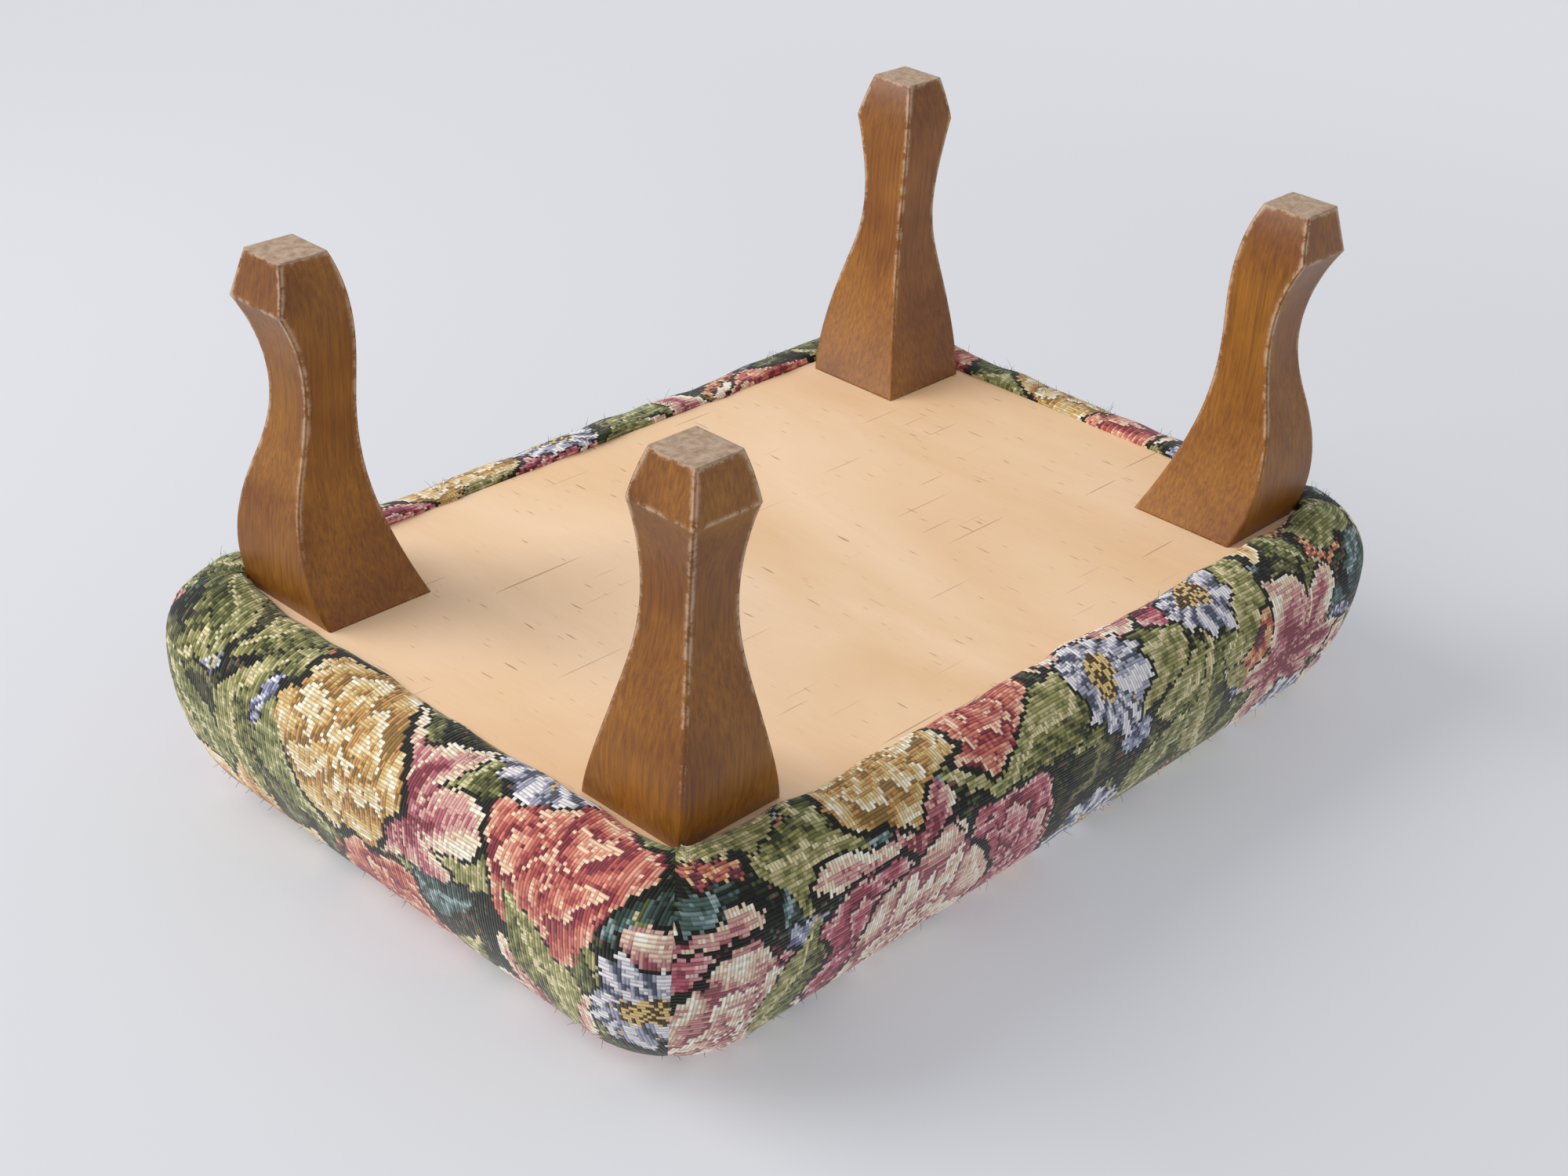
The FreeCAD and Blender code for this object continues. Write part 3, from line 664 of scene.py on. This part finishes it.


# %% [markdown]
# The weave itself: pale yarns float up and down the cloth and dark ones float across it, so the
# fine ribs change direction with the colour. Small dimples mark where a float is tied down. The
# colour of each thread is also painted darker in its grooves and dimples and lighter on its crown,
# as painted shade and painted highlight.

# %% Woven tapestry
def tapestry():
    material, tree = new_material("Jacquard tapestry, cotton and wool")
    grid = thread_grid(tree)
    brush = add(tree, "TexNoise",
                {"Vector": grid["design"], "Scale": 0.09, "Detail": 2.0, "Distortion": 1.5},
                noise_dimensions="2D")
    brushed = add(tree, "Math", {0: brush.outputs[0], 1: grid["hatch"]}, operation="ADD")
    picture = add(tree, "ValToRGB", {0: brushed},
                  ramp=[(0.0, "#14140F"), (0.52, "#262C1B"), (0.60, "#454D2E"), (0.68, "#6B4A48")])
    picture.color_ramp.interpolation = "CONSTANT"
    picture = leaves(tree, grid, picture, 34, 1, 19, 9, 1.0, DARK_LEAF_YARNS)
    picture = roses(tree, grid, picture, 40, 2, 12, 5, 1.6, 0.5, BUD_YARNS)
    picture = leaves(tree, grid, picture, 50, 3, 32, 13, 0.9, LEAF_YARNS)
    picture = daisies(tree, grid, picture, 52, 4, 13, 7, 0.4, (BUD_YARNS[1], BUD_YARNS[0]))
    picture = leaves(tree, grid, picture, 70, 5, 42, 15, 0.75, LEAF_YARNS)
    picture = lilies(tree, grid, picture, 86, 6, 44, 6, 0.5, LILY_YARNS)
    picture = roses(tree, grid, picture, 82, 7, 36, 5, 2.6, 0.5, ROSE_YARNS)
    picture = roses(tree, grid, picture, 90, 8, 38, 6, 2.3, 0.45, CREAM_YARNS)
    picture = leaves(tree, grid, picture, 80, 9, 34, 12, 0.5, LEAF_YARNS)
    picture = daisies(tree, grid, picture, 84, 10, 23, 11, 0.45, DAISY_YARNS)
    # Which way the floats run, and the height across one thread.
    light = add(tree, "RGBToBW", {0: picture})
    lifted = add(tree, "Math", {0: grid["hatch"], 1: 0.3, 2: light}, operation="MULTIPLY_ADD")
    upright = add(tree, "Math", {0: lifted, 1: 0.42}, operation="GREATER_THAN")
    inside = add(tree, "SeparateXYZ", {0: grid["inside"]})
    # A bump node works out its height three times, so each direction gets a short graph of its
    # own, free of the flowers, and only the two bent normals are mixed.
    crowns, normals = [], []
    for axis in ("Y", "X"):
        half_turn = add(tree, "Math", {0: inside.outputs[axis], 1: math.pi}, operation="MULTIPLY")
        crowns.append(add(tree, "Math", {0: half_turn}, operation="SINE"))
        normals.append(add(tree, "Bump",
                           {"Strength": 0.55, "Distance": 0.0004, "Height": crowns[-1]}))
    crown = add(tree, "Mix", {"Factor": upright, "A": crowns[0], "B": crowns[1]}, data_type="FLOAT")
    normal = add(tree, "Mix", {"Factor": upright, "A": normals[0], "B": normals[1]},
                 data_type="VECTOR")
    column, row = grid["count"].outputs["X"], grid["count"].outputs["Y"]
    along_row = add(tree, "Math", {0: row, 1: 3.0, 2: column}, operation="MULTIPLY_ADD")
    along_column = add(tree, "Math", {0: column, 1: 3.0, 2: row}, operation="MULTIPLY_ADD")
    along = add(tree, "Mix", {"Factor": upright, "A": along_row, "B": along_column},
                data_type="FLOAT")
    eighth = add(tree, "Math", {0: along, 1: 8.0}, operation="FLOORED_MODULO")
    tied = add(tree, "Math", {0: eighth, 1: 0.5}, operation="LESS_THAN")
    number = add(tree, "Mix", {"Factor": upright, "A": row, "B": column}, data_type="FLOAT")
    other = add(tree, "Math", {0: number, 1: 2.0}, operation="FLOORED_MODULO")
    dimple = add(tree, "Math", {0: tied, 1: -0.4, 2: 1.0}, operation="MULTIPLY_ADD")
    height = add(tree, "Math", {0: crown, 1: dimple}, operation="MULTIPLY")
    # Painted shade and painted highlight: the colour is darker in the grooves between threads and
    # in the tie-down dimples, and lighter on each thread's crown.
    groove_shade_tone = add(tree, "Math", {0: height, 1: 0.52, 2: 0.52}, operation="MULTIPLY_ADD")
    pair_and_groove_shade_tone = add(tree, "Math", {0: other, 1: 0.16, 2: groove_shade_tone}, operation="MULTIPLY_ADD")
    yarn_and_groove_shade_tone = add(tree, "Math", {0: grid["chance"].outputs["Value"], 1: 0.14, 2: pair_and_groove_shade_tone},
                    operation="MULTIPLY_ADD")
    cloth_colour_and_groove_shade = add(tree, "VectorMath", {0: picture, "Scale": yarn_and_groove_shade_tone}, operation="SCALE")
    roughness = add(tree, "Math", {0: height, 1: -0.12, 2: 0.92}, operation="MULTIPLY_ADD")
    shader = add(tree, "BsdfPrincipled", {"Base Color": cloth_colour_and_groove_shade, "Roughness": roughness,
                                          "IOR": 1.45, "Specular IOR Level": 0.3,
                                          "Sheen Weight": 0.18, "Sheen Roughness": 0.45,
                                          "Normal": normal})
    add(tree, "OutputMaterial", {"Surface": shader})
    print("tapestry nodes", len(tree.nodes))
    return material


cover.data.materials.append(tapestry())


# %% [markdown]
# Cut and rubbed cloth sheds fibres. Fine black ends stand out along the lip, where the cloth was
# trimmed, at the corners and under the shoulder. Each end is a thin bent tube that starts just
# inside the cloth. They are drawn 0.25 mm thick, about twice the true size, so that they show.

# %% Frayed thread ends
def thread_end(start, outward, along, length, radius, chance):
    """Points and faces of one bent three-sided tube."""
    lean = along * chance.uniform(-0.9, 0.9)
    curl = along * chance.uniform(-0.7, 0.7) + Vector((0, 0, chance.uniform(-0.7, 0.7)))
    points, faces = [], []
    steps = 5
    for step in range(steps + 1):
        share = step / steps
        middle = start + length * (share * (outward + lean) + share ** 2 * curl)
        first = outward.cross(along + Vector((0.01, 0.02, 0.3))).normalized()
        second = outward.cross(first).normalized()
        for corner in range(3):
            angle = 2 * math.pi * corner / 3
            thin = radius * (1 - 0.6 * share)
            points.append(middle + thin * (math.cos(angle) * first + math.sin(angle) * second))
        if step:
            base = 3 * (step - 1)
            for corner in range(3):
                other = (corner + 1) % 3
                faces.append((base + corner, base + other, base + 3 + other, base + 3 + corner))
    faces.append((2, 1, 0))
    faces.append((3 * steps, 3 * steps + 1, 3 * steps + 2))
    return points, faces


def fray():
    chance = random.Random(11)
    mesh = cover.data
    count = len(stations)
    # One ring past the lowest point of the lip, and the fifth from the top of the side.
    lip_row, low_row = 9, len(side_rings) - 5
    points, faces = [], []
    places = []
    for _ in range(420):
        row = chance.choice((lip_row, lip_row + 2, lip_row + 4, low_row, low_row + 2))
        places.append((row, chance.randrange(count), 1.0))
    # Along the trimmed lip the ends also stand together in small tufts.
    for _ in range(26):
        middle = chance.randrange(count)
        places += [(lip_row + chance.randint(-1, 2), middle + chance.randint(-1, 1),
                    1.5) for _ in range(7)]
    for row, index, reach in places:
        index %= count
        vertex = mesh.vertices[row * count + index]
        ahead = mesh.vertices[row * count + (index + 1) % count]
        outward = vertex.normal.normalized()
        along = (ahead.co - vertex.co).normalized()
        length = chance.uniform(1.2, 3.2) * MM * reach
        start = vertex.co - outward * 0.4 * MM
        tube, sides = thread_end(start, outward, along, length, 0.125 * MM, chance)
        faces.extend(tuple(len(points) + corner for corner in face) for face in sides)
        points.extend(tube)
    fray_mesh = bpy.data.meshes.new("frayed_threads")
    fray_mesh.from_pydata(points, [], faces)
    ends = bpy.data.objects.new("frayed_threads", fray_mesh)
    bpy.context.scene.collection.objects.link(ends)
    return ends


def black_yarn():
    material, tree = new_material("Black cotton yarn")
    place = add(tree, "TexCoord").outputs["Object"]
    twist = add(tree, "TexNoise", {"Vector": place, "Scale": 900.0, "Detail": 2.0})
    tone = add(tree, "ValToRGB", {0: twist}, ramp=[(0.3, "#17181A"), (0.7, "#34343A")])
    shader = add(tree, "BsdfPrincipled",
                 {"Base Color": tone, "Roughness": 0.85, "Sheen Weight": 0.3})
    add(tree, "OutputMaterial", {"Surface": shader})
    return material


loose_ends = fray()
loose_ends.data.materials.append(black_yarn())
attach(loose_ends, "root")
print("frayed threads", len(loose_ends.data.vertices) // 18)


# %% [markdown]
# Two pale sheets carry the soft shadow: a table against the top of the seat, for the
# photograph's view from below, and a floor under the feet, for a standing view. Only the camera
# sees them, and only from their front, so neither hides the stool from the other side. Both
# fade into the pale room, so that a standing view has no ceiling and no horizon.

# %% Table and floor
def pale_sheet(name, fade_from, fade_to):
    """Matt paper that shows from its front only and fades out between two distances in metres."""
    material, tree = new_material(name)
    place = add(tree, "TexCoord").outputs["Object"]
    reach = add(tree, "VectorMath", {0: place}, operation="LENGTH")
    faded = add(tree, "MapRange",
                {"Value": reach.outputs["Value"], "From Min": fade_from, "From Max": fade_to},
                interpolation_type="SMOOTHSTEP")
    facing = add(tree, "NewGeometry")
    hidden = add(tree, "Math", {0: facing.outputs["Backfacing"], 1: faded}, operation="MAXIMUM")
    matt = add(tree, "BsdfDiffuse", {"Color": colour("#DDDEE1")})
    # A third of plain colour keeps the shadow as light as it is in the photograph.
    plain = add(tree, "Emission", {"Color": colour("#D6D7DB")})
    paper = add(tree, "MixShader", {0: 0.33, 1: matt, 2: plain})
    clear = add(tree, "BsdfTransparent")
    sided = add(tree, "MixShader", {0: hidden, 1: paper, 2: clear})
    add(tree, "OutputMaterial", {"Surface": sided})
    return material


def pale_plane(name, corners, z, paper):
    mesh = bpy.data.meshes.new(name)
    mesh.from_pydata([(x, y, 0.0) for x, y in corners], [], [tuple(range(len(corners)))])
    plane = bpy.data.objects.new(name, mesh)
    bpy.context.scene.collection.objects.link(plane)
    plane.location.z = z
    plane.data.materials.append(paper)
    for ray in ("visible_diffuse", "visible_glossy", "visible_transmission", "visible_shadow"):
        setattr(plane, ray, False)
    return plane


floor_corners = [(-60, -60), (60, -60), (60, 60), (-60, 60)]
pale_plane("Floor", floor_corners, 0.0, pale_sheet("Pale matt floor", 0.7, 3.0))
# Seen from above the corners run clockwise, so this sheet faces down.
table_corners = [(-0.75, -1.2), (-0.75, 0.75), (1.2, 0.75), (1.2, -1.2)]
pale_plane("Table", table_corners, top_z + 0.2 * MM, pale_sheet("Pale matt table", 0.45, 1.15))


# %% [markdown]
# The light is a pale, even room with one big window to the left of the photograph. A soft lamp
# above the standing stool keeps its seat lit in the other views.

# %% Light
def soft_lamp(name, place, aim, size, watts, tint):
    data = bpy.data.lights.new(name, "AREA")
    data.shape = "DISK"
    data.size = size
    data.energy = watts
    data.color = colour(tint)[:3]
    lamp = bpy.data.objects.new(name, data)
    bpy.context.scene.collection.objects.link(lamp)
    lamp.location = place
    lamp.rotation_euler = (Vector(aim) - Vector(place)).to_track_quat("-Z", "Y").to_euler()
    return lamp


world = bpy.data.worlds.new("Pale room")
bpy.context.scene.world = world
world.use_nodes = True
world.node_tree.nodes.clear()
room = add(world.node_tree, "Background", {"Color": colour("#EAEDF4"), "Strength": 0.71})
# The camera sees the room in the colour of the table, so that the two meet without an edge.
# Reflections show the same room.
backdrop = add(world.node_tree, "Background", {"Color": colour("#DADCE1")})
rays = add(world.node_tree, "LightPath").outputs
mirrored = add(world.node_tree, "Math", {0: rays["Is Glossy Ray"], 1: rays["Is Transmission Ray"]},
               operation="MAXIMUM")
seen = add(world.node_tree, "Math", {0: rays["Is Camera Ray"], 1: mirrored}, operation="MAXIMUM")
either = add(world.node_tree, "MixShader", {0: seen, 1: room, 2: backdrop})
add(world.node_tree, "OutputWorld", {"Surface": either})
soft_lamp("Window", (-1.9, -2.1, -1.7), (0, 0, 0.13), 2.6, 101.0, "#FBF9F7")
soft_lamp("Upper lamp", (-0.3, -0.6, 1.7), (0, 0, 0.15), 1.4, 12.0, "#FFFAF2")


# %% [markdown]
# The camera stands where the photographer did. Its place, aim and tilt come from fitting the
# corners of the legs, and its lens sees the width of the photograph at that distance.

# %% Camera
FOCAL_PIXELS, PHOTOGRAPH_PIXELS = 2978.0, 2000.0


def photograph_camera():
    place = Vector((-0.6179, 0.5403, -0.3079))
    aim = Vector((-0.0290, 0.0184, 0.1360))
    tilt = -0.0652
    forward = (aim - place).normalized()
    legs_up = Vector((0, 0, -1))
    right = forward.cross(legs_up).normalized()
    down = forward.cross(right)
    turned_right = math.cos(tilt) * right + math.sin(tilt) * down
    turned_down = -math.sin(tilt) * right + math.cos(tilt) * down
    turn = Matrix((turned_right, -turned_down, -forward)).transposed()
    data = bpy.data.cameras.new("Camera")
    data.sensor_width = 36.0
    data.lens = data.sensor_width * FOCAL_PIXELS / PHOTOGRAPH_PIXELS
    camera = bpy.data.objects.new("Camera", data)
    bpy.context.scene.collection.objects.link(camera)
    camera.matrix_world = Matrix.Translation(place) @ turn.to_4x4()
    return camera


bpy.context.scene.camera = photograph_camera()
bpy.context.scene.view_settings.view_transform = "Standard"
